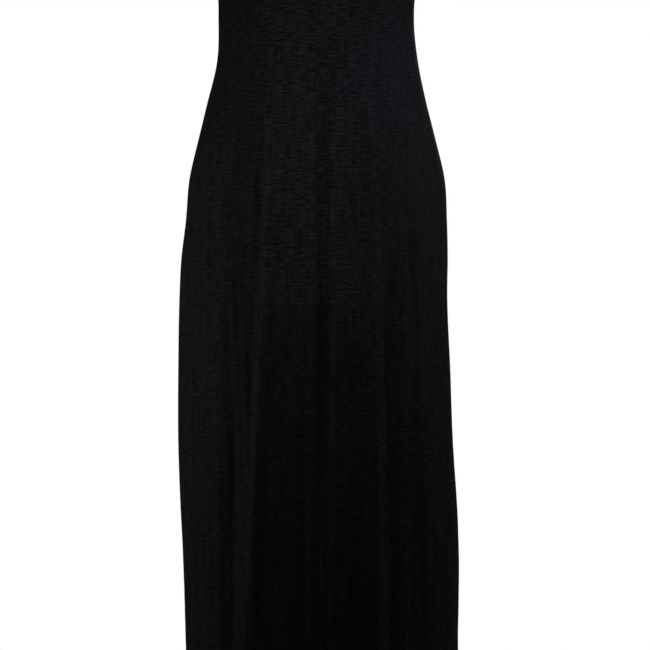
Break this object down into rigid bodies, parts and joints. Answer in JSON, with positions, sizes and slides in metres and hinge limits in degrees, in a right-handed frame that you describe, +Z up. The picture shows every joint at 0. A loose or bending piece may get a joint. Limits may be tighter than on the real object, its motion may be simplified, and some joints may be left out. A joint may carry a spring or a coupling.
{
  "type": "slip dress",
  "caption": "Ankle-length slip dress in thin black slub jersey, worn shape with a hollow body, narrow shoulder straps, soft vertical folds in the skirt and a short inner lining.",
  "frame": {"origin": "midway between the two straps, at the height where their undersides rest on the wearer's shoulders", "axes": "+Z up, the front faces -Y, +X to the right of a viewer who faces the front"},
  "size_m": [0.3583, 0.2807, 1.4028],
  "materials": {
    "jersey": "matt slub jersey",
    "lining": "smooth knitted lining",
    "strap": "matt folded jersey"
  },
  "bodies": {
    "root": {"front_left_bodice": "jersey", "front_left_skirt": "jersey", "front_right_bodice": "jersey", "front_right_skirt": "jersey", "back_bodice": "jersey", "back_skirt": "jersey", "lining_front": "lining", "lining_back": "lining", "strap_left": "strap", "strap_right": "strap"}
  },
  "joints": []
}
